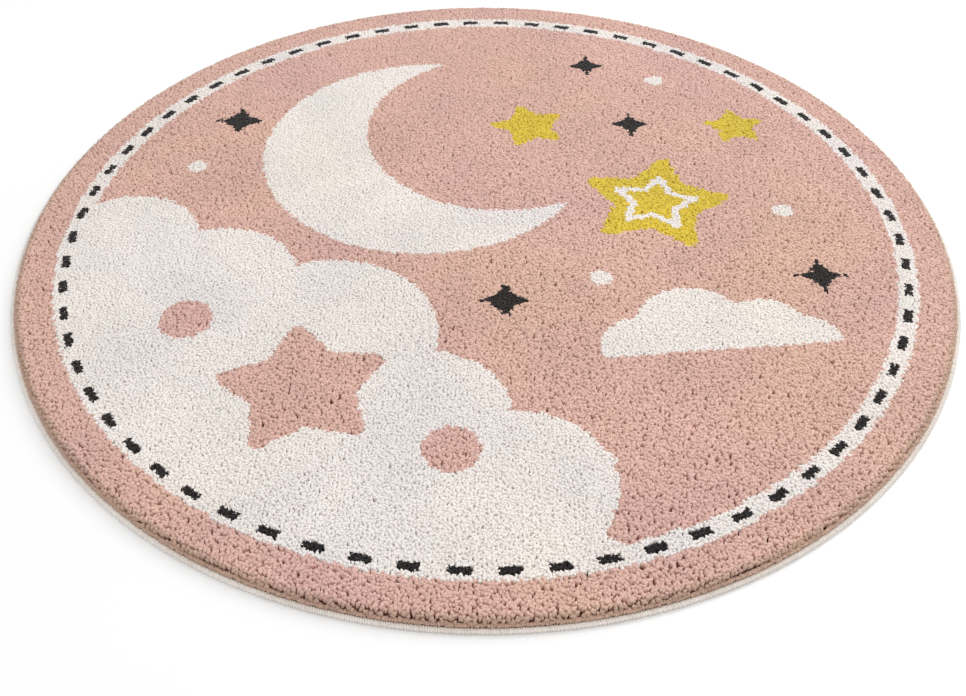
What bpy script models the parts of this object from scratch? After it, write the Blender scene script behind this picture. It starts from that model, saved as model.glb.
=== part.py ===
"""Round cut-pile rug for a child's room, with an overlocked edge.

Metres, +Z up. The rug lies flat, and the origin is the centre of its underside.
It is two pieces: the ground cloth with its pile, which stands in the solid as
one body as far as the tips of the pile, and the yarn that is whipped round its
edge.
"""

import math

import bpy

# Driving dimensions, in metres
RUG_DIAMETER = 1.000        # over the overlocked edge
RUG_THICKNESS = 0.012       # from the underside to the tips of the pile
EDGE_REACH = 0.0060         # how far the edge stands out past the pile
EDGE_HEIGHT = 0.0042        # the whipped yarn, over the cut ground cloth
SHOULDER_REACH = 0.0065     # how far in from its side the pile starts to round over
SHOULDER_DROP = 0.0055      # how far down its side that rounding goes
FOOT_RADIUS = 0.0006        # the underside's own corner
GAP = 0.0003                # clearance between neighbouring pieces

# How finely the turned shapes are drawn
STEPS_ROUND = 128
STEPS_SHOULDER = 5
STEPS_FOOT = 2
STEPS_BEAD = 5

COLLECTION_NAME = "round_pile_rug"


def linear(red, green, blue):
    """An sRGB colour of 0 to 255 as the linear RGBA that a shader takes."""

    def channel(value):
        value /= 255
        return value / 12.92 if value <= 0.04045 else ((value + 0.055) / 1.055) ** 2.4

    return (channel(red), channel(green), channel(blue), 1.0)


def make_material(name, colour, roughness):
    material = bpy.data.materials.new(name)
    material.use_nodes = True
    shader = material.node_tree.nodes["Principled BSDF"]
    shader.inputs["Base Color"].default_value = colour
    shader.inputs["Roughness"].default_value = roughness
    shader.inputs["Metallic"].default_value = 0.0
    material.diffuse_color = colour
    return material


def arc(centre, radii, start, end, steps):
    """Points of an elliptical arc in the (radius, height) plane, angles in degrees."""
    points = []
    for step in range(steps + 1):
        angle = math.radians(start + (end - start) * step / steps)
        points.append(
            (centre[0] + radii[0] * math.cos(angle), centre[1] + radii[1] * math.sin(angle))
        )
    return points


def turned(name, profile, is_closed, material, collection):
    """An object whose (radius, height) profile is turned once about +Z."""
    edges = [(i, i + 1) for i in range(len(profile) - 1)]
    if is_closed:
        edges.append((len(profile) - 1, 0))
    mesh = bpy.data.meshes.new(name)
    mesh.from_pydata([(radius, 0.0, height) for radius, height in profile], edges, [])
    mesh.materials.append(material)
    piece = bpy.data.objects.new(name, mesh)
    collection.objects.link(piece)
    screw = piece.modifiers.new("Turn", "SCREW")
    screw.axis = "Z"
    screw.angle = math.tau
    screw.steps = STEPS_ROUND
    screw.render_steps = STEPS_ROUND
    screw.use_merge_vertices = True
    screw.merge_threshold = 0.00005
    screw.use_smooth_shade = True
    return piece


def field_profile(radius):
    """The ground cloth and its pile: a flat top that rounds over to an upright side."""
    shoulder_centre = (radius - SHOULDER_REACH, RUG_THICKNESS - SHOULDER_DROP)
    foot_centre = (radius - FOOT_RADIUS, FOOT_RADIUS)
    return (
        [(0.0, RUG_THICKNESS)]
        + arc(shoulder_centre, (SHOULDER_REACH, SHOULDER_DROP), 90, 0, STEPS_SHOULDER)
        + arc(foot_centre, (FOOT_RADIUS, FOOT_RADIUS), 0, -90, STEPS_FOOT)
        + [(0.0, 0.0)]
    )


def edge_profile(inner, outer):
    """The whipped edge: a low bead that is flat against the pile and on the floor."""
    foot_centre = (outer - FOOT_RADIUS, FOOT_RADIUS)
    bead_centre = (inner, FOOT_RADIUS)
    bead_radii = (outer - inner, EDGE_HEIGHT - FOOT_RADIUS)
    return (
        arc(bead_centre, bead_radii, 90, 0, STEPS_BEAD)
        + arc(foot_centre, (FOOT_RADIUS, FOOT_RADIUS), 0, -90, STEPS_FOOT)[1:]
        + [(inner, 0.0)]
    )


def main():
    for existing in list(bpy.data.objects):
        bpy.data.objects.remove(existing, do_unlink=True)
    collection = bpy.data.collections.new(COLLECTION_NAME)
    bpy.context.scene.collection.children.link(collection)

    rose_pile = make_material("rose_pile", linear(205, 168, 156), 0.95)
    ivory_yarn = make_material("ivory_yarn", linear(231, 222, 214), 0.9)

    outer = RUG_DIAMETER / 2
    inner = outer - EDGE_REACH
    turned("pile_field", field_profile(inner - GAP), False, rose_pile, collection)
    turned("overlocked_edge", edge_profile(inner, outer), True, ivory_yarn, collection)


main()
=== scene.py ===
"""The looks of a round cut-pile rug for a child's room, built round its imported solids.

Metres, +Z up, with the centre of the rug's underside at the origin. The rug is a
woven ground cloth that carries some tens of thousands of yarn tufts, each a small
closed strand of its own, with ivory yarn whipped round the cut edge.
"""

import logging
import math
from collections.abc import Callable
from dataclasses import dataclass
from enum import Enum

import bmesh
import bpy
import numpy as np
from mathutils import Matrix, Vector


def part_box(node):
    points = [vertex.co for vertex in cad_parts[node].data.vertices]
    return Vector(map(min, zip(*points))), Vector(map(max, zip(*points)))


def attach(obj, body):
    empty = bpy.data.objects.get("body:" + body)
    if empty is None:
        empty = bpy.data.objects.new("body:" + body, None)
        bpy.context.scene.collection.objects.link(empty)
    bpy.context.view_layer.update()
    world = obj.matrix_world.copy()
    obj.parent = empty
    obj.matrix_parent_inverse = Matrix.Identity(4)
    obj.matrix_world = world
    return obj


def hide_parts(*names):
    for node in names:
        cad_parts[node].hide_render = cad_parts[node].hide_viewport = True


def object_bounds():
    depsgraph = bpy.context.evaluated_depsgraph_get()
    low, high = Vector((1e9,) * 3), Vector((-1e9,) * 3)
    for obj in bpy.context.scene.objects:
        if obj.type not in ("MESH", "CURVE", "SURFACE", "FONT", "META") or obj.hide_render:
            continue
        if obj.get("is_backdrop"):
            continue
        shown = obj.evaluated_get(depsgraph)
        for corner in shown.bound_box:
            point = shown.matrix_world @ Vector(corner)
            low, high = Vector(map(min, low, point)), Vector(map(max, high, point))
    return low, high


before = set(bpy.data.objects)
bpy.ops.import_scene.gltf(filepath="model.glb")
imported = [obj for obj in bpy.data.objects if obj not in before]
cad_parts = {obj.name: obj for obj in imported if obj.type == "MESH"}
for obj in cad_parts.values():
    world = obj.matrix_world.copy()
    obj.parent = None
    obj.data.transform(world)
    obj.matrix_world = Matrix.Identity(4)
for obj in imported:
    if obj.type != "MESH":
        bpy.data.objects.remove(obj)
CAD_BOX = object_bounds()

log = logging.getLogger("round_rug")

MM = 0.001
YARN_ROUGHNESS = 0.92
YARN_SHEEN = 0.15
FIBRE_RELIEF = 0.12 * MM
PATCH_SCALE = 4.5
# the radii over which the painted shade of the pile's rim comes in
RIM_START, RIM_END = 0.485, 0.494
FIBRE_SCALE = 1500.0
BODY = "root"
FIELD_NODE = "pile_field"
EDGE_NODE = "overlocked_edge"
BAKE_MAP = "OFBake"
ALONG = "along"
TUFT = "tuft"
CELL_MARGIN = 0.06

Colour = tuple[float, float, float]
Point = tuple[float, float]
Place = tuple[float, float, float]


# ---------------------------------------------------------------- colours and finishes


def linear(colour: Colour) -> tuple[float, float, float, float]:
    """Turn an sRGB colour into the linear one that a shader takes.

    Args:
        colour: Red, green and blue, 0 to 255.

    Returns:
        Linear red, green and blue, 0 to 1, and an alpha of 1.
    """

    def channel(value: float) -> float:
        """One linear channel."""
        value /= 255
        return value / 12.92 if value <= 0.04045 else ((value + 0.055) / 1.055) ** 2.4

    red, green, blue = colour
    return channel(red), channel(green), channel(blue), 1.0


@dataclass(frozen=True)
class YarnFinish:
    """How one colour of pile yarn looks, and how loosely its tufts stand.

    The warm and cool colours are those of the slow patches that lie over the pile, and
    root is painted shade: the darker colour that a ply is mixed to low down in the pile,
    where the tufts shade each other. Spread is how much one ply differs in tone from
    the next. Lean is how far in metres a tip strays from over its foot, unevenness how
    much shorter some tips are cut, and jitter how far a foot strays, as a share of the
    pitch.
    """

    slot: str
    colour: Colour
    warm: Colour
    cool: Colour
    # root: painted shade, the colour low in the pile where the tufts shade each other
    root: Colour
    spread: float
    lean: float
    unevenness: float
    jitter: float


class Yarn(Enum):
    """The yarn colours of the pile."""

    ROSE = YarnFinish(
        slot="rose_pile",
        colour=(227, 187, 173),
        warm=(224, 186, 164),
        cool=(228, 184, 177),
        root=(192, 126, 112),
        spread=0.07,
        lean=0.95 * MM,
        unevenness=0.38 * MM,
        jitter=0.1,
    )
    IVORY = YarnFinish(
        slot="ivory_pile",
        colour=(245, 237, 231),
        warm=(244, 236, 225),
        cool=(242, 236, 235),
        root=(236, 226, 218),
        spread=0.02,
        lean=0.3 * MM,
        unevenness=0.22 * MM,
        jitter=0.05,
    )
    MUSTARD = YarnFinish(
        slot="mustard_pile",
        colour=(228, 200, 66),
        warm=(228, 196, 56),
        cool=(224, 200, 80),
        root=(190, 152, 32),
        spread=0.07,
        lean=0.7 * MM,
        unevenness=0.4 * MM,
        jitter=0.1,
    )
    BLACK = YarnFinish(
        slot="black_pile",
        colour=(32, 26, 25),
        warm=(35, 28, 25),
        cool=(29, 27, 29),
        root=(20, 16, 15),
        spread=0.25,
        lean=0.15 * MM,
        unevenness=0.02 * MM,
        jitter=0.02,
    )


@dataclass(frozen=True)
class ClothFinish:
    """A plain cloth or wound yarn: its thread colour, the darker colour of painted shade in its
    hollows and patches, their pitch and the relief.
    """

    slot: str
    colour: Colour
    shade: Colour
    pitch: float
    relief: float
    roughness: float


GROUND_FINISH = ClothFinish(
    slot="ground_cloth",
    colour=(206, 178, 160),
    shade=(180, 150, 134),
    pitch=2.2 * MM,
    relief=0.25 * MM,
    roughness=0.95,
)
# painted shade: the tan tone that the outermost rows of pile are mixed towards
RIM_SHADE = (196, 166, 144)
EDGE_FINISH = ClothFinish(
    slot="edge_yarn",
    colour=(249, 243, 237),
    shade=(228, 217, 206),
    pitch=0.35 * MM,
    relief=0.06 * MM,
    roughness=0.9,
)


# ---------------------------------------------------------------- shader building


class Graph:
    """A shader node tree, filled by short calls."""

    def __init__(self, tree: bpy.types.NodeTree) -> None:
        """Start on an existing tree."""
        self.tree = tree

    def add(self, kind: str, inputs: dict | None = None, **settings: object) -> bpy.types.Node:
        """Add a node.

        Args:
            kind: The node's type name.
            inputs: Input socket name or index to a value, or to a socket to link.
            **settings: The node's own properties.

        Returns:
            The new node.
        """
        node = self.tree.nodes.new(kind)
        for name, value in settings.items():
            setattr(node, name, value)
        for key, value in (inputs or {}).items():
            self.feed(node.inputs[key], value)
        return node

    def feed(self, socket: bpy.types.NodeSocket, value: object) -> None:
        """Link a socket if value is one, or else set it.

        Args:
            socket: The input to fill.
            value: A socket to link, or a plain value.
        """
        if isinstance(value, bpy.types.NodeSocket):
            self.tree.links.new(value, socket)
        else:
            socket.default_value = value

    def maths(self, operation: str, first: object, second: object = 0.0) -> bpy.types.NodeSocket:
        """The result of a Math node of two values or sockets."""
        return self.add("ShaderNodeMath", {0: first, 1: second}, operation=operation).outputs[0]

    def fitted(
        self, value: object, low: float, high: float, start: float, end: float
    ) -> bpy.types.NodeSocket:
        """The socket of value, mapped smoothly from low..high to start..end and held there.

        Args:
            value: The number or socket to map.
            low: Where the map starts.
            high: Where it ends.
            start: The result at low.
            end: The result at high.

        Returns:
            The result's socket.
        """
        sockets = {"Value": value, "From Min": low, "From Max": high, "To Min": start, "To Max": end}
        node = self.add("ShaderNodeMapRange", sockets, interpolation_type="SMOOTHSTEP")
        return node.outputs[0]

    def noise(self, place: object, scale: float, detail: float = 2.0) -> bpy.types.NodeSocket:
        """The factor of a 3-D noise at that place."""
        sockets = {"Vector": place, "Scale": scale, "Detail": detail, "Roughness": 0.5}
        return self.add("ShaderNodeTexNoise", sockets).outputs[0]

    def mixed(self, factor: object, first: object, second: object) -> bpy.types.NodeSocket:
        """Two colours mixed by a factor.

        Args:
            factor: 0 for the first colour, 1 for the second.
            first: A colour or socket.
            second: A colour or socket.

        Returns:
            The mixed colour's socket.
        """
        node = self.add("ShaderNodeMix", data_type="RGBA")
        self.feed(node.inputs[0], factor)
        self.feed(node.inputs[6], first)
        self.feed(node.inputs[7], second)
        return node.outputs[2]

    def scaled(self, vector: object, factor: object) -> bpy.types.NodeSocket:
        """A vector or colour times a number."""
        node = self.add("ShaderNodeVectorMath", {0: vector, "Scale": factor}, operation="SCALE")
        return node.outputs[0]


def new_group(name: str, inputs: dict[str, str], outputs: dict[str, str]) -> tuple:
    """Start a shader node group.

    Args:
        name: The group's name.
        inputs: Socket name to type of socket.
        outputs: The same for what it puts out.

    Returns:
        The group, its graph, its input node and its output node.
    """
    group = bpy.data.node_groups.new(name, "ShaderNodeTree")
    for label, kind in inputs.items():
        group.interface.new_socket(label, in_out="INPUT", socket_type=f"NodeSocket{kind}")
    for label, kind in outputs.items():
        group.interface.new_socket(label, in_out="OUTPUT", socket_type=f"NodeSocket{kind}")
    graph = Graph(group)
    return group, graph, graph.add("NodeGroupInput"), graph.add("NodeGroupOutput")


def yarn_tone_group() -> bpy.types.NodeTree:
    """Build the group that colours pile yarn.

    It lays slow warm and cool patches over the pile, paints shade towards the foot of a
    tuft, makes each ply a little lighter or darker than the next, streaks it with fibres
    and paints a tan shade over the pile's outermost rows.

    Returns:
        The group, with the outputs Colour and Fibre Height.
    """
    group, graph, given, result = new_group(
        "yarn_tone",
        {
            "Place": "Vector",
            "Along": "Float",
            "Tuft": "Float",
            "Yarn": "Color",
            "Warm": "Color",
            "Cool": "Color",
            "Root Shade": "Color",
            "Rim Shade": "Color",
            "Spread": "Float",
        },
        {"Colour": "Color", "Fibre Height": "Float"},
    )
    value = given.outputs
    patches = graph.noise(value["Place"], PATCH_SCALE)
    warmth = graph.fitted(patches, 0.5, 0.7, 0.0, 0.6)
    coolness = graph.fitted(patches, 0.5, 0.3, 0.0, 0.6)
    colour = graph.mixed(warmth, value["Yarn"], value["Warm"])
    colour = graph.mixed(coolness, colour, value["Cool"])
    # painted shade: each ply darkens towards its foot, where the tufts shade each other
    foot = graph.fitted(value["Along"], 0.15, 0.9, 1.0, 0.0)
    colour = graph.mixed(foot, colour, value["Root Shade"])

    # painted shade: the outermost rows of pile, the pile's side at the rim, are mixed towards a tan
    # shade tone
    split = graph.add("ShaderNodeSeparateXYZ", {0: value["Place"]}).outputs
    square = graph.maths("POWER", split[0], 2.0)
    square = graph.maths("ADD", square, graph.maths("POWER", split[1], 2.0))
    masked = graph.fitted(graph.maths("SQRT", square), RIM_START, RIM_END, 0.0, 0.75)
    colour = graph.mixed(masked, colour, value["Rim Shade"])

    light = graph.fitted(graph.noise(value["Place"], 9.0, 3.0), 0.3, 0.7, 0.955, 1.045)
    off_mean = graph.maths("SUBTRACT", value["Tuft"], 0.5)
    tuft = graph.maths("MULTIPLY", off_mean, value["Spread"])
    tuft = graph.maths("ADD", graph.maths("MULTIPLY", tuft, 2.0), 1.0)
    stretched = graph.add(
        "ShaderNodeMapping", {"Vector": value["Place"], "Scale": (1.0, 1.0, 0.16)}
    ).outputs[0]
    fibres = graph.noise(stretched, FIBRE_SCALE, 1.0)
    streak = graph.fitted(fibres, 0.3, 0.7, 0.93, 1.04)
    factor = graph.maths("MULTIPLY", graph.maths("MULTIPLY", light, tuft), streak)
    graph.feed(result.inputs["Colour"], graph.scaled(colour, factor))
    graph.feed(result.inputs["Fibre Height"], fibres)
    return group


def weave_group() -> bpy.types.NodeTree:
    """Build the group that draws a plain weave, with painted shade in its hollows.

    Returns:
        The group, with the outputs Colour and Height.
    """
    group, graph, given, result = new_group(
        "plain_weave",
        {"Place": "Vector", "Thread": "Color", "Shade": "Color", "Pitch": "Float"},
        {"Colour": "Color", "Height": "Float"},
    )
    value = given.outputs
    turns = graph.maths("DIVIDE", math.pi, value["Pitch"])
    split = graph.add("ShaderNodeSeparateXYZ", {0: value["Place"]}).outputs
    across = graph.maths("SINE", graph.maths("MULTIPLY", split[0], turns))
    down = graph.maths("SINE", graph.maths("MULTIPLY", split[1], turns))
    over = graph.maths("MULTIPLY", across, down)
    height = graph.fitted(graph.maths("ABSOLUTE", over), 0.0, 1.0, 0.0, 1.0)
    slub = graph.noise(value["Place"], 60.0, 3.0)
    # painted shade: the weave's hollows are mixed towards the shade colour, with random slubs
    shade = graph.maths("MULTIPLY", height, graph.fitted(slub, 0.3, 0.7, 0.6, 1.0))
    graph.feed(result.inputs["Colour"], graph.mixed(shade, value["Shade"], value["Thread"]))
    graph.feed(result.inputs["Height"], height)
    return group


class Wardrobe:
    """Makes each material of the rug once."""

    def __init__(self) -> None:
        """Build the shared groups."""
        self.yarn_tone = yarn_tone_group()
        self.weave = weave_group()

    def start(self, name: str, roughness: float, sheen: float) -> tuple:
        """Make a material with its Principled shader.

        Args:
            name: The material's name.
            roughness: The yarn's roughness.
            sheen: The weight of its soft sheen.

        Returns:
            The material, its graph and its shader node.
        """
        material = bpy.data.materials.new(name)
        material.use_nodes = True
        shader = material.node_tree.nodes["Principled BSDF"]
        shader.inputs["Roughness"].default_value = roughness
        shader.inputs["Specular IOR Level"].default_value = 0.15
        shader.inputs["Sheen Weight"].default_value = sheen
        shader.inputs["Sheen Roughness"].default_value = 0.5
        return material, Graph(material.node_tree), shader

    def bump(self, graph: Graph, shader: bpy.types.Node, height: object, relief: float) -> None:
        """Give the shader a relief of that depth in metres."""
        bump = graph.add("ShaderNodeBump", {"Height": height, "Distance": relief, "Strength": 1.0})
        graph.feed(shader.inputs["Normal"], bump.outputs[0])

    def pile(self, yarn: Yarn) -> bpy.types.Material:
        """The material of one colour of pile.

        Args:
            yarn: Which yarn.

        Returns:
            The material.
        """
        finish = yarn.value
        material, graph, shader = self.start(finish.slot, YARN_ROUGHNESS, YARN_SHEEN)
        tone = graph.add("ShaderNodeGroup")
        tone.node_tree = self.yarn_tone
        place = graph.add("ShaderNodeTexCoord").outputs["Object"]
        along = graph.add("ShaderNodeAttribute", attribute_name=ALONG).outputs["Fac"]
        tuft = graph.add("ShaderNodeAttribute", attribute_name=TUFT).outputs["Fac"]
        values = {
            "Place": place,
            "Along": along,
            "Tuft": tuft,
            "Yarn": linear(finish.colour),
            "Warm": linear(finish.warm),
            "Cool": linear(finish.cool),
            "Root Shade": linear(finish.root),
            "Rim Shade": linear(RIM_SHADE),
            "Spread": finish.spread,
        }
        for name, value in values.items():
            graph.feed(tone.inputs[name], value)
        graph.feed(shader.inputs["Base Color"], tone.outputs["Colour"])
        self.bump(graph, shader, tone.outputs["Fibre Height"], FIBRE_RELIEF)
        return material

    def cloth(self, finish: ClothFinish) -> bpy.types.Material:
        """The material of the ground cloth.

        Args:
            finish: The cloth's colours, pitch and relief.

        Returns:
            The material.
        """
        material, graph, shader = self.start(finish.slot, finish.roughness, 0.1)
        weave = graph.add("ShaderNodeGroup")
        weave.node_tree = self.weave
        values = {
            "Place": graph.add("ShaderNodeTexCoord").outputs["Object"],
            "Thread": linear(finish.colour),
            "Shade": linear(finish.shade),
            "Pitch": finish.pitch,
        }
        for name, value in values.items():
            graph.feed(weave.inputs[name], value)
        graph.feed(shader.inputs["Base Color"], weave.outputs["Colour"])
        self.bump(graph, shader, weave.outputs["Height"], finish.relief)
        return material

    def edge(self, finish: ClothFinish) -> bpy.types.Material:
        """The material of the whipped edge yarn.

        Args:
            finish: The yarn's colours, pitch and relief.

        Returns:
            The material.
        """
        material, graph, shader = self.start(finish.slot, finish.roughness, YARN_SHEEN)
        place = graph.add("ShaderNodeTexCoord").outputs["Object"]
        tuft = graph.add("ShaderNodeAttribute", attribute_name=TUFT).outputs["Fac"]
        fibres = graph.noise(place, 1.0 / finish.pitch)
        # painted shade: random patches of the edge yarn are mixed towards its darker shade colour,
        # on top of each turn's own random tone and the fibres
        shade_patches = graph.fitted(graph.noise(place, 14.0), 0.35, 0.7, 0.0, 0.5)
        part = graph.maths("ADD", graph.maths("MULTIPLY", tuft, 0.5), shade_patches)
        part = graph.maths("MULTIPLY", part, graph.fitted(fibres, 0.3, 0.7, 0.5, 1.1))
        colour = graph.mixed(part, linear(finish.colour), linear(finish.shade))
        graph.feed(shader.inputs["Base Color"], colour)
        self.bump(graph, shader, fibres, finish.relief)
        return material

    def floor(self) -> bpy.types.Material:
        """The material of the pale floor.

        Returns:
            The material.
        """
        material, graph, shader = self.start("pale_floor", 0.9, 0.0)
        place = graph.add("ShaderNodeTexCoord").outputs["Object"]
        cloud = graph.fitted(graph.noise(place, 3.0), 0.3, 0.7, 0.0, 1.0)
        colour = graph.mixed(cloud, (0.97, 0.97, 0.97, 1.0), (0.98, 0.98, 0.98, 1.0))
        graph.feed(shader.inputs["Base Color"], colour)
        return material


# ---------------------------------------------------------------- the pictured design


def inside_disc(x: np.ndarray, y: np.ndarray, centre: Point, radius: float) -> np.ndarray:
    """Whether each point lies in a disc."""
    return np.hypot(x - centre[0], y - centre[1]) < radius


@dataclass(frozen=True)
class Dot:
    """A plain round spot."""

    yarn: Yarn
    centre: Point
    radius: float

    def covers(self, x: np.ndarray, y: np.ndarray) -> np.ndarray:
        """Whether each point lies in the dot."""
        return inside_disc(x, y, self.centre, self.radius)


@dataclass(frozen=True)
class Crescent:
    """A moon: a disc with another disc taken out of it."""

    yarn: Yarn
    centre: Point
    radius: float
    bite_centre: Point
    bite_radius: float

    def covers(self, x: np.ndarray, y: np.ndarray) -> np.ndarray:
        """Whether each point lies in the moon."""
        bitten = inside_disc(x, y, self.bite_centre, self.bite_radius)
        return inside_disc(x, y, self.centre, self.radius) & ~bitten


@dataclass(frozen=True)
class Puff:
    """One round lobe of a cloud."""

    centre: Point
    radius: float


@dataclass(frozen=True)
class Cloud:
    """A cloud: round lobes over a straight base, which can be turned.

    Lobes are placed from the middle of the base, and nothing shows below it.
    """

    yarn: Yarn
    base: Point
    turn: float
    lobes: tuple[Puff, ...]

    def covers(self, x: np.ndarray, y: np.ndarray) -> np.ndarray:
        """Whether each point lies in the cloud.

        Args:
            x: The points' X.
            y: Their Y.

        Returns:
            True or false for each point.
        """
        angle = math.radians(self.turn)
        along = (x - self.base[0]) * math.cos(angle) + (y - self.base[1]) * math.sin(angle)
        above = (y - self.base[1]) * math.cos(angle) - (x - self.base[0]) * math.sin(angle)
        inside = np.zeros(len(x), bool)
        for lobe in self.lobes:
            inside |= inside_disc(along, above, lobe.centre, lobe.radius)
        return inside & (above > 0.0)


@dataclass(frozen=True)
class CloudBank:
    """Everything past a straight line, with round lobes along the line.

    The line is square to the facing angle, at a distance from the rug's centre. Lobes
    are placed along it, and towards the centre.
    """

    yarn: Yarn
    facing: float
    distance: float
    lobes: tuple[Puff, ...]

    def covers(self, x: np.ndarray, y: np.ndarray) -> np.ndarray:
        """Whether each point lies in the bank.

        Args:
            x: The points' X.
            y: Their Y.

        Returns:
            True or false for each point.
        """
        angle = math.radians(self.facing)
        out = x * math.cos(angle) + y * math.sin(angle) - self.distance
        along = y * math.cos(angle) - x * math.sin(angle)
        inside = out > 0.0
        for lobe in self.lobes:
            inside |= inside_disc(along, -out, lobe.centre, lobe.radius)
        return inside


@dataclass(frozen=True)
class Star:
    """A five-pointed star with blunt points. A hollow of more than 0 leaves an outline."""

    yarn: Yarn
    centre: Point
    radius: float
    turn: float
    waist: float = 0.52
    bluntness: float = 0.9
    hollow: float = 0.0

    def reach(self, x: np.ndarray, y: np.ndarray) -> np.ndarray:
        """Each point's distance from the centre as a share of the star's own there.

        Args:
            x: The points' X.
            y: Their Y.

        Returns:
            The share for each point.
        """
        fifth = math.tau / 5
        angle = np.arctan2(y - self.centre[1], x - self.centre[0]) - math.radians(self.turn)
        folded = np.abs((angle + fifth / 2) % fifth - fifth / 2)
        low_x, low_y = self.waist * math.cos(fifth / 2), self.waist * math.sin(fifth / 2)
        slant = np.cos(folded) * low_y - np.sin(folded) * (low_x - 1.0)
        side = np.minimum(low_y / slant, self.bluntness)
        return np.hypot(x - self.centre[0], y - self.centre[1]) / (self.radius * side)

    def covers(self, x: np.ndarray, y: np.ndarray) -> np.ndarray:
        """Whether each point lies in the star."""
        share = self.reach(x, y)
        return (share < 1.0) & (share >= self.hollow)


@dataclass(frozen=True)
class Twinkle:
    """A four-pointed glint with hollow sides. Power sets how slim its points are."""

    yarn: Yarn
    centre: Point
    radius: float
    turn: float = 0.0
    power: float = 0.6

    def covers(self, x: np.ndarray, y: np.ndarray) -> np.ndarray:
        """Whether each point lies in the glint.

        Args:
            x: The points' X.
            y: Their Y.

        Returns:
            True or false for each point.
        """
        angle = math.radians(self.turn)
        along = (x - self.centre[0]) * math.cos(angle) + (y - self.centre[1]) * math.sin(angle)
        aside = (y - self.centre[1]) * math.cos(angle) - (x - self.centre[0]) * math.sin(angle)
        reach = np.abs(along) ** self.power + np.abs(aside) ** self.power
        return reach < self.radius**self.power


@dataclass(frozen=True)
class Design:
    """The rug's pattern: a night sky inside an ivory ring that carries black dashes."""

    ring_inner: float = 0.437
    ring_outer: float = 0.457
    dash_circle: float = 0.447
    dash_count: int = 68
    dash_length: float = 0.0188
    dash_width: float = 0.0075
    first_dash: float = 187.96
    motifs: tuple = (
        CloudBank(
            Yarn.IVORY,
            facing=232.0,
            distance=0.262,
            lobes=(
                Puff((-0.290, 0.000), 0.080),
                Puff((-0.165, 0.015), 0.088),
                Puff((-0.020, 0.030), 0.112),
                Puff((0.125, 0.010), 0.082),
                Puff((0.245, 0.000), 0.085),
            ),
        ),
        Star(Yarn.ROSE, (-0.172, -0.242), 0.092, 100.0, waist=0.56),
        Dot(Yarn.ROSE, (-0.300, -0.150), 0.027),
        Dot(Yarn.ROSE, (-0.030, -0.318), 0.027),
        Crescent(Yarn.IVORY, (-0.070, 0.145), 0.192, (0.018, 0.190), 0.162),
        Star(Yarn.MUSTARD, (0.190, 0.045), 0.092, 78.0),
        Star(Yarn.IVORY, (0.190, 0.045), 0.054, 78.0, hollow=0.72),
        Star(Yarn.MUSTARD, (0.052, 0.196), 0.050, 105.0),
        Star(Yarn.MUSTARD, (0.302, 0.196), 0.040, 95.0),
        Cloud(
            Yarn.IVORY,
            base=(0.232, -0.190),
            turn=6.0,
            lobes=(
                Puff((-0.078, 0.012), 0.040),
                Puff((-0.022, 0.036), 0.056),
                Puff((0.048, 0.022), 0.046),
                Puff((0.088, 0.006), 0.032),
            ),
        ),
        Dot(Yarn.IVORY, (0.120, -0.085), 0.011),
        Dot(Yarn.IVORY, (0.330, 0.030), 0.011),
        Dot(Yarn.IVORY, (0.215, 0.300), 0.011),
        Dot(Yarn.IVORY, (-0.335, 0.110), 0.011),
        Dot(Yarn.IVORY, (0.105, -0.330), 0.011),
        Twinkle(Yarn.BLACK, (-0.300, 0.205), 0.032),
        Twinkle(Yarn.BLACK, (0.175, 0.200), 0.026),
        Twinkle(Yarn.BLACK, (0.020, -0.120), 0.030),
        Twinkle(Yarn.BLACK, (0.350, -0.080), 0.028),
        Twinkle(Yarn.BLACK, (0.130, 0.335), 0.026),
    )

    def yarns(self, x: np.ndarray, y: np.ndarray) -> np.ndarray:
        """The yarn of the tuft at each point, as numbers in the order of the Yarn names.

        Args:
            x: The points' X.
            y: Their Y.

        Returns:
            The yarn's number for each point.
        """
        order = list(Yarn)
        found = np.full(len(x), order.index(Yarn.ROSE))
        for motif in self.motifs:
            found[motif.covers(x, y)] = order.index(motif.yarn)
        radius = np.hypot(x, y)
        found[radius > self.ring_inner] = order.index(Yarn.IVORY)
        found[self.on_dash(x, y)] = order.index(Yarn.BLACK)
        found[radius > self.ring_outer] = order.index(Yarn.ROSE)
        return found

    def on_dash(self, x: np.ndarray, y: np.ndarray) -> np.ndarray:
        """Whether each point lies on one of the ring's dashes.

        Args:
            x: The points' X.
            y: Their Y.

        Returns:
            True or false for each point.
        """
        step = math.tau / self.dash_count
        angle = np.arctan2(y, x) - math.radians(self.first_dash)
        aside = np.abs((angle + step / 2) % step - step / 2) * self.dash_circle
        off = np.abs(np.hypot(x, y) - self.dash_circle)
        return (aside < self.dash_length / 2) & (off < self.dash_width / 2)


    def dash_tufts(self, pitch: float) -> tuple[np.ndarray, np.ndarray]:
        """The feet of the tufts that fill the dashes in straight rows of that pitch.

        Args:
            pitch: How far apart the tufts stand.

        Returns:
            The feet's X and Y.
        """
        columns = round(self.dash_length / pitch)
        rows = round(self.dash_width / pitch)
        along = (np.arange(columns) - (columns - 1) / 2) * self.dash_length / columns
        out = (np.arange(rows) - (rows - 1) / 2) * self.dash_width / rows + self.dash_circle
        turns = np.arange(self.dash_count) * math.tau / self.dash_count
        angle, along, out = np.meshgrid(turns + math.radians(self.first_dash), along, out)
        x = out * np.cos(angle) - along * np.sin(angle)
        y = out * np.sin(angle) + along * np.cos(angle)
        return x.ravel(), y.ravel()


# ---------------------------------------------------------------- joined copies of a small shape


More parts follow.
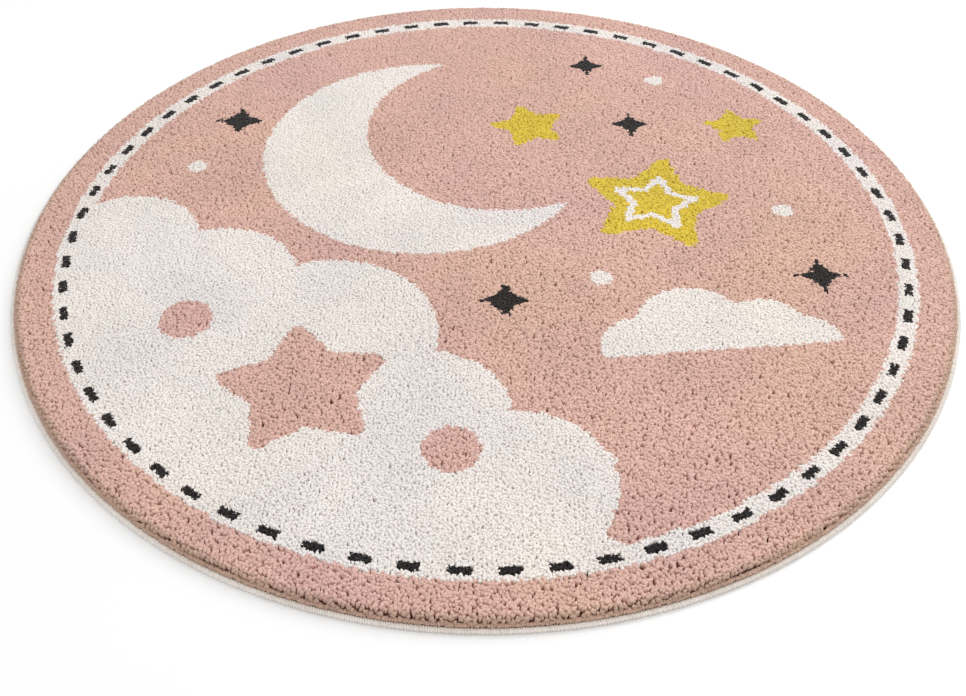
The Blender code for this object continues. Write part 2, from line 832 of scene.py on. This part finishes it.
@dataclass
class Template:
    """A small closed shape, read into arrays so that it can be copied many times.

    Points hold the shape's vertices. Corners hold the vertex of each face corner, starts
    the first corner of each face, and cell where each corner lies in the unit square that
    a copy gets on the bake's map.
    """

    points: np.ndarray
    corners: np.ndarray
    starts: np.ndarray
    cell: np.ndarray

    @classmethod
    def read(cls, shape: bmesh.types.BMesh, place: Callable[[Vector, Vector], Point]) -> "Template":
        """Read a shape and free it.

        Args:
            shape: The closed shape.
            place: Gives a corner's place in the unit square from the corner's own point
                and the centre of its face.

        Returns:
            The template.
        """
        bmesh.ops.recalc_face_normals(shape, faces=shape.faces)
        shape.verts.index_update()
        corners, starts, cell = [], [], []
        for face in shape.faces:
            starts.append(len(corners))
            centre = face.calc_center_median()
            for vertex in face.verts:
                corners.append(vertex.index)
                cell.append(place(vertex.co, centre))
        points = np.array([vertex.co for vertex in shape.verts])
        shape.free()
        return cls(points, np.array(corners), np.array(starts), np.array(cell))


def copies(name: str, template: Template, points: np.ndarray, values: dict) -> bpy.types.Object:
    """Join many copies of a template, each at its own given points, into one mesh object.

    Args:
        name: The object's name.
        template: The shape.
        points: Every copy's vertices, by copy, vertex and axis.
        values: Attribute name to its numbers, by copy and vertex.

    Returns:
        The object, linked to the scene.
    """
    count, size = points.shape[:2]
    copy = np.arange(count)[:, None]
    corners = (template.corners[None] + copy * size).ravel()
    starts = (template.starts[None] + copy * len(template.corners)).ravel()
    mesh = bpy.data.meshes.new(name)
    mesh.vertices.add(count * size)
    mesh.vertices.foreach_set("co", points.astype(np.float32).ravel())
    mesh.loops.add(len(corners))
    mesh.polygons.add(len(starts))
    mesh.polygons.foreach_set("loop_start", starts.astype(np.int32))
    mesh.polygons.foreach_set("vertices", corners.astype(np.int32))
    for label, numbers in values.items():
        attribute = mesh.attributes.new(label, "FLOAT", "POINT")
        full = np.broadcast_to(numbers, (count, size)).astype(np.float32)
        attribute.data.foreach_set("value", full.ravel())
    side = math.ceil(math.sqrt(count))
    inner = CELL_MARGIN + (1 - 2 * CELL_MARGIN) * template.cell
    origin = np.stack([copy % side, copy // side], 2)
    layer = mesh.uv_layers.new(name=BAKE_MAP)
    layer.uv.foreach_set("vector", ((origin + inner[None]) / side).astype(np.float32).ravel())
    mesh.update(calc_edges=True)
    mesh.shade_smooth()
    piece = bpy.data.objects.new(name, mesh)
    bpy.context.scene.collection.objects.link(piece)
    return piece


# ---------------------------------------------------------------- the pile


@dataclass(frozen=True)
class StrandShape:
    """One ply of a tuft: three sides, full at its foot and slim at its cut tip."""

    sides: int = 3
    tip_share: float = 0.96
    cap_share: float = 0.12

    def template(self) -> Template:
        """Model a straight ply of unit height and unit foot radius.

        Returns:
            The ply, read into arrays.
        """
        shape = bmesh.new()
        bmesh.ops.create_cone(
            shape,
            cap_ends=True,
            segments=self.sides,
            radius1=1.0,
            radius2=self.tip_share,
            depth=1.0,
        )
        bmesh.ops.translate(shape, verts=shape.verts, vec=(0.0, 0.0, 0.5))
        return Template.read(shape, self.place)

    def place(self, corner: Vector, centre: Vector) -> Point:
        """A corner's place in the unit square: sides stand side by side, caps at the ends.

        Args:
            corner: The corner's point.
            centre: The centre of its face.

        Returns:
            The place, each way from 0 to 1.
        """
        turn = math.atan2(corner.y, corner.x)
        if math.hypot(centre.x, centre.y) < 1e-4:
            low = 0.0 if centre.z < 0.5 else 1.0 - self.cap_share
            rise = 0.5 + 0.5 * math.sin(turn)
            return 0.5 + 0.4 * math.cos(turn), low + self.cap_share * rise
        middle = math.atan2(centre.y, centre.x)
        left = (turn - middle + math.pi) % math.tau - math.pi > 0
        column = int((middle / math.tau % 1.0) * self.sides)
        return (column + (0.97 if left else 0.03)) / self.sides, (
            self.cap_share + (1 - 2 * self.cap_share) * corner.z
        )


@dataclass
class PilePiece:
    """One piece of the pile: the tufts that it takes, and their yarn."""

    name: str
    yarn: Yarn
    wears: np.ndarray


@dataclass
class Pile:
    """All the tufts of the rug, each of two plies, in pieces by yarn and place."""

    design: Design
    box: tuple[Vector, Vector]
    pitch: float = 3.72 * MM
    radius: float = 2.6 * MM
    radius_spread: float = 0.12
    foot: float = 1.6 * MM
    ply_foot: float = 0.9 * MM
    ply_tip: float = 1.35 * MM
    shoulder_reach: float = 6.5 * MM
    shoulder_drop: float = 5.5 * MM
    edge_room: float = 1.9 * MM
    rim_pitch: float = 2.6 * MM
    rim_inset: float = 1.2 * MM
    outward: float = 2.2 * MM
    overhang: float = 1.4 * MM
    ply_stray: float = 0.35
    rim_hold: float = 0.7
    rim_depth: float = 19.5 * MM
    field_pieces: int = 3
    seed: int = 68

    def __post_init__(self) -> None:
        """Lay out the tufts' feet and give each its yarn."""
        self.rng = np.random.default_rng(self.seed)
        self.reach = self.box[1].x
        self.top = self.box[1].z
        self.template = StrandShape().template()
        columns = int(self.reach / self.pitch) + 1
        steps = np.arange(-columns, columns + 1) * self.pitch
        x, y = (line.ravel() for line in np.meshgrid(steps, steps))
        y = y + np.where(np.round(x / self.pitch) % 2 > 0, self.pitch / 2, 0.0)
        kept = (np.hypot(x, y) < self.reach - self.edge_room) & ~self.design.on_dash(x, y)
        dash_x, dash_y = self.design.dash_tufts(self.pitch)
        rim_count = int(math.tau * self.reach / self.rim_pitch)
        around = np.arange(rim_count) * math.tau / rim_count
        rim = self.reach - self.rim_inset
        self.x = np.concatenate([x[kept], dash_x, rim * np.cos(around)])
        self.y = np.concatenate([y[kept], dash_y, rim * np.sin(around)])
        self.yarns = self.design.yarns(self.x, self.y)

    def pieces(self) -> list[PilePiece]:
        """Share the tufts among the pieces.

        Returns:
            The pieces, in the order in which they are made.
        """
        order = list(Yarn)
        radius = np.hypot(self.x, self.y)
        masked = {yarn: self.yarns == order.index(yarn) for yarn in order}
        in_field = radius < self.design.ring_inner
        bank = next(motif for motif in self.design.motifs if isinstance(motif, CloudBank))
        in_bank = bank.covers(self.x, self.y) & in_field
        found = [
            PilePiece("rose_border", Yarn.ROSE, masked[Yarn.ROSE] & ~in_field),
            PilePiece("ivory_ring", Yarn.IVORY, masked[Yarn.IVORY] & ~in_field),
            PilePiece("ivory_bank", Yarn.IVORY, masked[Yarn.IVORY] & in_bank),
            PilePiece("ivory_sky", Yarn.IVORY, masked[Yarn.IVORY] & in_field & ~in_bank),
            PilePiece("mustard_stars", Yarn.MUSTARD, masked[Yarn.MUSTARD]),
            PilePiece("black_dashes", Yarn.BLACK, masked[Yarn.BLACK]),
        ]
        rose = masked[Yarn.ROSE] & in_field
        bounds = np.quantile(self.y[rose], np.linspace(0, 1, self.field_pieces + 1))
        band = np.searchsorted(bounds[1:-1], self.y)
        for number in range(self.field_pieces):
            name = f"rose_field_{number + 1}"
            found.append(PilePiece(name, Yarn.ROSE, rose & (band == number)))
        return found

    def height_at(self, radius: np.ndarray) -> np.ndarray:
        """How high the pile stands at each distance from the centre.

        Args:
            radius: The distances.

        Returns:
            The heights.
        """
        past = np.clip((radius - self.reach + self.shoulder_reach) / self.shoulder_reach, 0, 1)
        return self.top - self.shoulder_drop * (1 - np.sqrt(1 - past**2))

    def scatter(self, spread: float | np.ndarray) -> np.ndarray:
        """A random step for each tuft, along X and Y, of that spread and at most twice it."""
        return self.rng.normal(0, 1, (2, len(self.x))).clip(-2, 2) * spread

    def by_tuft(self, values: list[float]) -> np.ndarray:
        """Each tuft's own value, from one for each yarn in order."""
        return np.array(values)[self.yarns]

    def planted(self) -> tuple[np.ndarray, np.ndarray]:
        """Stand a copy of the template for both plies of every tuft.

        Returns:
            The points by tuft, ply, vertex and axis, and each ply's tone of 0 to 1.
        """
        count = len(self.x)
        leans = self.by_tuft([yarn.value.lean for yarn in Yarn])
        strays = self.by_tuft([yarn.value.jitter for yarn in Yarn]) * self.pitch
        uneven = self.by_tuft([yarn.value.unevenness for yarn in Yarn])
        foot = np.stack([self.x, self.y])
        away = np.maximum(np.hypot(*foot), MM)
        rim = np.clip((away - self.reach) / self.rim_depth + 1, 0, 1) ** 2
        foot = foot + self.scatter(strays) * (1 - rim)
        lean = self.scatter(leans) * (1 - self.rim_hold * rim) + foot / away * rim * self.outward
        split = self.rng.uniform(0, math.tau, count)
        apart = np.stack([np.cos(split), np.sin(split)])
        plies, tones = [], []
        for side in (-1, 1):
            low = foot + side * apart * self.ply_foot * (1 - rim)
            high = low + lean + side * apart * (self.ply_tip - self.ply_foot)
            high = high + self.scatter(self.ply_stray * leans) * (1 - rim)
            tip_away = np.maximum(np.hypot(*high), MM)
            high *= np.minimum(1.0, (self.reach + self.overhang) / tip_away)
            tip = self.height_at(np.minimum(tip_away, self.reach))
            tip = tip - np.abs(self.rng.normal(0, 1, count)) * uneven
            plies.append(self.stood(low, high, tip))
            tones.append(self.rng.uniform(0, 1, count))
        return np.stack(plies, 1), np.stack(tones, 1)

    def stood(self, low: np.ndarray, high: np.ndarray, tip: np.ndarray) -> np.ndarray:
        """Stand one ply of each tuft between its foot and its tip.

        Args:
            low: The feet, X and Y by tuft.
            high: The tips, X and Y by tuft.
            tip: The tips' heights.

        Returns:
            The points by tuft, vertex and axis.
        """
        count, shape = len(tip), self.template.points
        turn = self.rng.uniform(0, math.tau, count)[:, None]
        size = self.radius * (1 + self.rng.normal(0, self.radius_spread, count))[:, None]
        ring = np.stack(
            [
                size * (shape[:, 0] * np.cos(turn) - shape[:, 1] * np.sin(turn)),
                size * (shape[:, 0] * np.sin(turn) + shape[:, 1] * np.cos(turn)),
                np.zeros((count, len(shape))),
            ],
            2,
        )
        start = np.stack([low[0], low[1], np.full(count, self.foot)], 1)[:, None]
        end = np.stack([high[0], high[1], tip], 1)[:, None]
        heading = (end - start) / np.linalg.norm(end - start, axis=2, keepdims=True)
        tipped = ring - heading * (ring * heading).sum(2, keepdims=True)
        share = shape[None, :, 2:]
        return start + (end - start) * share + np.where(share > 0.5, tipped, ring)

    def build(self, wardrobe: Wardrobe) -> list[bpy.types.Object]:
        """Make every piece of the pile.

        Args:
            wardrobe: Where the materials come from.

        Returns:
            The pieces.
        """
        points, tones = self.planted()
        materials = {yarn: wardrobe.pile(yarn) for yarn in Yarn}
        made = []
        for part in self.pieces():
            own = points[part.wears]
            own = own.reshape(-1, *own.shape[2:])
            values = {
                ALONG: self.template.points[None, :, 2],
                TUFT: tones[part.wears].reshape(-1, 1),
            }
            piece = copies(part.name, self.template, own, values)
            piece.data.materials.append(materials[part.yarn])
            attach(piece, BODY)
            log.info("%s: %d plies", part.name, len(own))
            made.append(piece)
        return made


# ---------------------------------------------------------------- cloth and edge


def object_of(name: str, shape: bmesh.types.BMesh, smooth: bool) -> bpy.types.Object:
    """Turn a bmesh into a scene object and free it.

    Args:
        name: The object's name.
        shape: The shape.
        smooth: Whether its faces are shaded smooth.

    Returns:
        The object.
    """
    mesh = bpy.data.meshes.new(name)
    shape.to_mesh(mesh)
    shape.free()
    if smooth:
        mesh.shade_smooth()
    piece = bpy.data.objects.new(name, mesh)
    bpy.context.scene.collection.objects.link(piece)
    return piece


@dataclass
class GroundCloth:
    """The woven cloth that carries the tufts."""

    box: tuple[Vector, Vector]
    thickness: float = 2.0 * MM
    inset: float = 0.3 * MM
    rounding: float = 0.5 * MM
    segments: int = 256

    def build(self, wardrobe: Wardrobe) -> bpy.types.Object:
        """Model the round cloth as a thin closed disc with a softened rim.

        Args:
            wardrobe: Where the material comes from.

        Returns:
            The cloth.
        """
        radius = self.box[1].x - self.inset
        shape = bmesh.new()
        bmesh.ops.create_cone(
            shape,
            cap_ends=True,
            segments=self.segments,
            radius1=radius,
            radius2=radius,
            depth=self.thickness,
        )
        bmesh.ops.translate(shape, verts=shape.verts, vec=(0.0, 0.0, self.thickness / 2))
        rim = [
            edge
            for edge in shape.edges
            if any(len(face.verts) == self.segments for face in edge.link_faces)
        ]
        bmesh.ops.bevel(
            shape,
            geom=rim,
            offset=self.rounding,
            segments=2,
            profile=0.5,
            affect="EDGES",
            material=-1,
        )
        bmesh.ops.recalc_face_normals(shape, faces=shape.faces)
        piece = object_of("ground_cloth", shape, smooth=False)
        piece.data.materials.append(wardrobe.cloth(GROUND_FINISH))
        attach(piece, BODY)
        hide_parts(FIELD_NODE)
        log.info("ground_cloth: radius %.4f m", radius)
        return piece


@dataclass
class OverlockedEdge:
    """The yarn whipped round the cut edge, over the edge's own rounded cord."""

    box: tuple[Vector, Vector]
    reach: float = 6.0 * MM
    height: float = 4.2 * MM
    pitch: float = 2.1 * MM
    yarn_radius: float = 0.8 * MM
    flatness: float = 1.3
    sunk: float = 0.9
    sides: int = 4
    steps: int = 7
    sweep: float = 250.0
    inner_start: float = -62.0
    slant: float = 1.2 * MM
    core_segments: int = 320
    seed: int = 23

    def core(self, wardrobe: Wardrobe) -> bpy.types.Object:
        """Model the rounded cord under the whipping as one closed ring.

        Args:
            wardrobe: Where the material comes from.

        Returns:
            The cord.
        """
        half_wide = self.reach / 2 - self.yarn_radius * self.sunk
        half_high = self.height / 2 - self.yarn_radius * self.sunk
        middle = Vector((self.box[1].x - self.reach / 2, 0.0, self.height / 2))
        shape = bmesh.new()
        bmesh.ops.create_circle(shape, cap_ends=False, segments=8, radius=1.0)
        bmesh.ops.transform(
            shape,
            verts=shape.verts,
            matrix=Matrix.Translation(middle)
            @ Matrix.Rotation(math.pi / 2, 4, "X")
            @ Matrix.Diagonal((half_wide, half_high, 1.0, 1.0)),
        )
        bmesh.ops.spin(
            shape,
            geom=shape.verts[:] + shape.edges[:],
            cent=(0.0, 0.0, 0.0),
            axis=(0.0, 0.0, 1.0),
            angle=math.tau,
            steps=self.core_segments,
            use_merge=True,
        )
        bmesh.ops.remove_doubles(shape, verts=shape.verts, dist=1e-6)
        bmesh.ops.recalc_face_normals(shape, faces=shape.faces)
        piece = object_of("edge_cord", shape, smooth=True)
        piece.data.attributes.new(TUFT, "FLOAT", "POINT")
        piece.data.materials.append(wardrobe.edge(EDGE_FINISH))
        return piece

    @property
    def bend(self) -> float:
        """The radius of the bend of one turn, before it is widened."""
        return self.height / 2 - self.yarn_radius

    def loop_template(self) -> Template:
        """Model one turn of yarn: a bent tube from the pile, over the edge and under it.

        Returns:
            The turn, read into arrays.
        """
        shape = bmesh.new()
        bmesh.ops.create_circle(shape, cap_ends=True, segments=self.sides, radius=self.yarn_radius)
        bmesh.ops.rotate(shape, verts=shape.verts, matrix=Matrix.Rotation(math.pi / 2, 3, "Y"))
        bmesh.ops.translate(shape, verts=shape.verts, vec=(0.0, 0.0, self.bend))
        turned = Matrix.Rotation(math.radians(self.inner_start), 3, "Y")
        bmesh.ops.rotate(shape, verts=shape.verts, matrix=turned)
        bmesh.ops.spin(
            shape,
            geom=list(shape.faces),
            cent=(0.0, 0.0, 0.0),
            axis=(0.0, 1.0, 0.0),
            angle=math.radians(self.sweep),
            steps=self.steps,
            dvec=(0.0, self.slant / self.steps, 0.0),
            use_duplicate=False,
        )
        bmesh.ops.remove_doubles(shape, verts=shape.verts, dist=1e-7)
        template = Template.read(shape, self.place)
        template.points[:, 0] *= (self.reach / 2 - self.yarn_radius) / self.bend
        template.points[:, 1] *= self.flatness
        return template

    def on_tube(self, point: Vector) -> tuple[float, float, float]:
        """A point's share of the way along a turn, and its two steps off the tube's axis.

        Args:
            point: A point of the turn's template.

        Returns:
            The share along, the step out from the axis and the step aside.
        """
        turn = math.degrees(math.atan2(point.x, point.z)) - self.inner_start
        along = ((turn + 40.0) % 360.0 - 40.0) / self.sweep
        return along, math.hypot(point.x, point.z) - self.bend, point.y - self.slant * along

    def place(self, corner: Vector, centre: Vector) -> Point:
        """A corner's place in the unit square: round the tube, and along it.

        Args:
            corner: The corner's point.
            centre: The centre of its face.

        Returns:
            The place, each way from 0 to 1.
        """
        along, out, aside = self.on_tube(corner)
        middle, middle_out, middle_aside = self.on_tube(centre)
        angle = math.atan2(aside, out)
        if math.hypot(middle_out, middle_aside) < 0.2 * self.yarn_radius:
            high = 0.94 if middle > 0.5 else 0.0
            return 0.5 + 0.4 * math.cos(angle), high + 0.03 + 0.028 * math.sin(angle)
        facing = math.atan2(middle_aside, middle_out)
        off = (angle - facing + math.pi) % math.tau - math.pi
        column = int((facing / math.tau % 1.0) * self.sides)
        across = (column + 0.5 + 0.47 * (1.0 if off > 0 else -1.0)) / self.sides
        return across, 0.07 + 0.86 * min(max(along, 0.0), 1.0)

    def build(self, wardrobe: Wardrobe) -> list[bpy.types.Object]:
        """Make the cord and the turns of yarn round it.

        Args:
            wardrobe: Where the material comes from.

        Returns:
            The cord and the whipping.
        """
        rng = np.random.default_rng(self.seed)
        template = self.loop_template()
        middle = self.box[1].x - self.reach / 2
        count = int(math.tau * self.box[1].x / self.pitch)
        angle = (np.arange(count) + rng.normal(0, 0.10, count)) * math.tau / count
        size = 1 + rng.normal(0, 0.03, count).clip(-0.06, 0.06)
        local = template.points[None] * size[:, None, None]
        out = middle + local[..., 0]
        side = local[..., 1] + rng.normal(0, 0.1 * MM, count)[:, None]
        cos, sin = np.cos(angle)[:, None], np.sin(angle)[:, None]
        high = np.maximum(self.height / 2 + local[..., 2], 0.05 * MM)
        points = np.stack([out * cos - side * sin, out * sin + side * cos, high], 2)
        tones = {TUFT: rng.uniform(0, 1, count)[:, None]}
        whipping = copies("overlocked_edge_yarn", template, points, tones)
        cord = self.core(wardrobe)
        whipping.data.materials.append(cord.data.materials[0])
        for piece in (cord, whipping):
            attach(piece, BODY)
        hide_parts(EDGE_NODE)
        log.info("overlocked edge: %d turns", count)
        return [cord, whipping]


# ---------------------------------------------------------------- the studio


@dataclass
class Studio:
    """A pale floor, soft light and the camera."""

    pile_top: float
    camera_back: float = 0.9746
    camera_above_pile: float = 0.7732
    pitch: float = 44.582
    yaw: float = -0.161
    roll: float = 0.096
    lens: float = 42.17
    sensor: float = 36.0
    floor_size: float = 12.0
    floor_drop: float = 0.1 * MM
    sky: float = 0.72
    key_place: Place = (2.0, 1.9, 2.2)
    key_size: float = 1.6
    key_power: float = 54.0
    fill_place: Place = (0.6, -0.6, 2.6)
    fill_size: float = 2.2
    fill_power: float = 12.0

    def add_camera(self) -> None:
        """Place the camera over the near side of the rug."""
        data = bpy.data.cameras.new("camera")
        data.lens = self.lens
        data.sensor_width = self.sensor
        data.clip_start = 0.01
        camera = bpy.data.objects.new("camera", data)
        bpy.context.scene.collection.objects.link(camera)
        turn = (
            Matrix.Rotation(math.radians(-self.yaw), 4, "Z")
            @ Matrix.Rotation(math.radians(90 - self.pitch), 4, "X")
            @ Matrix.Rotation(math.radians(self.roll), 4, "Z")
        )
        height = self.pile_top + self.camera_above_pile
        camera.matrix_world = Matrix.Translation((0.0, -self.camera_back, height)) @ turn
        bpy.context.scene.camera = camera

    def add_floor(self, wardrobe: Wardrobe) -> None:
        """Lay a wide pale floor just under the rug.

        Args:
            wardrobe: Where the material comes from.
        """
        shape = bmesh.new()
        bmesh.ops.create_grid(shape, x_segments=4, y_segments=4, size=self.floor_size / 2)
        floor = object_of("floor", shape, smooth=False)
        for vertex in floor.data.vertices:
            vertex.co.z = -self.floor_drop
        floor.data.materials.append(wardrobe.floor())
        floor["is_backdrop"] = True

    def add_light(self, name: str, place: Place, size: float, power: float) -> None:
        """Hang one square soft light that faces the rug.

        Args:
            name: The light's name.
            place: Where it hangs.
            size: The length of its side.
            power: Its power in watts.
        """
        data = bpy.data.lights.new(name, "AREA")
        data.shape = "SQUARE"
        data.size = size
        data.energy = power
        lamp = bpy.data.objects.new(name, data)
        bpy.context.scene.collection.objects.link(lamp)
        lamp.location = place
        lamp.rotation_mode = "QUATERNION"
        lamp.rotation_quaternion = (-Vector(place)).to_track_quat("-Z", "Y")

    def build(self, wardrobe: Wardrobe) -> None:
        """Set up the floor, the light and the camera.

        Args:
            wardrobe: Where the floor's material comes from.
        """
        scene = bpy.context.scene
        scene.view_settings.view_transform = "Standard"
        world = bpy.data.worlds.new("studio")
        world.use_nodes = True
        background = world.node_tree.nodes["Background"]
        background.inputs["Color"].default_value = (1.0, 1.0, 1.0, 1.0)
        background.inputs["Strength"].default_value = self.sky
        scene.world = world
        self.add_camera()
        self.add_floor(wardrobe)
        self.add_light("key", self.key_place, self.key_size, self.key_power)
        self.add_light("fill", self.fill_place, self.fill_size, self.fill_power)


def main() -> None:
    """Build the rug, piece by piece, and the studio round it."""
    logging.basicConfig(level=logging.INFO, format="%(name)s: %(message)s")
    wardrobe = Wardrobe()
    field_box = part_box(FIELD_NODE)
    cloth = GroundCloth(field_box).build(wardrobe)
    pile = Pile(Design(), field_box).build(wardrobe)
    edge = OverlockedEdge(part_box(EDGE_NODE)).build(wardrobe)
    Studio(field_box[1].z).build(wardrobe)
    boxes = {"cad": CAD_BOX, "visual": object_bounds()}
    {name: [list(corner) for corner in box] for name, box in boxes.items()}


if __name__ == "__main__":
    main()
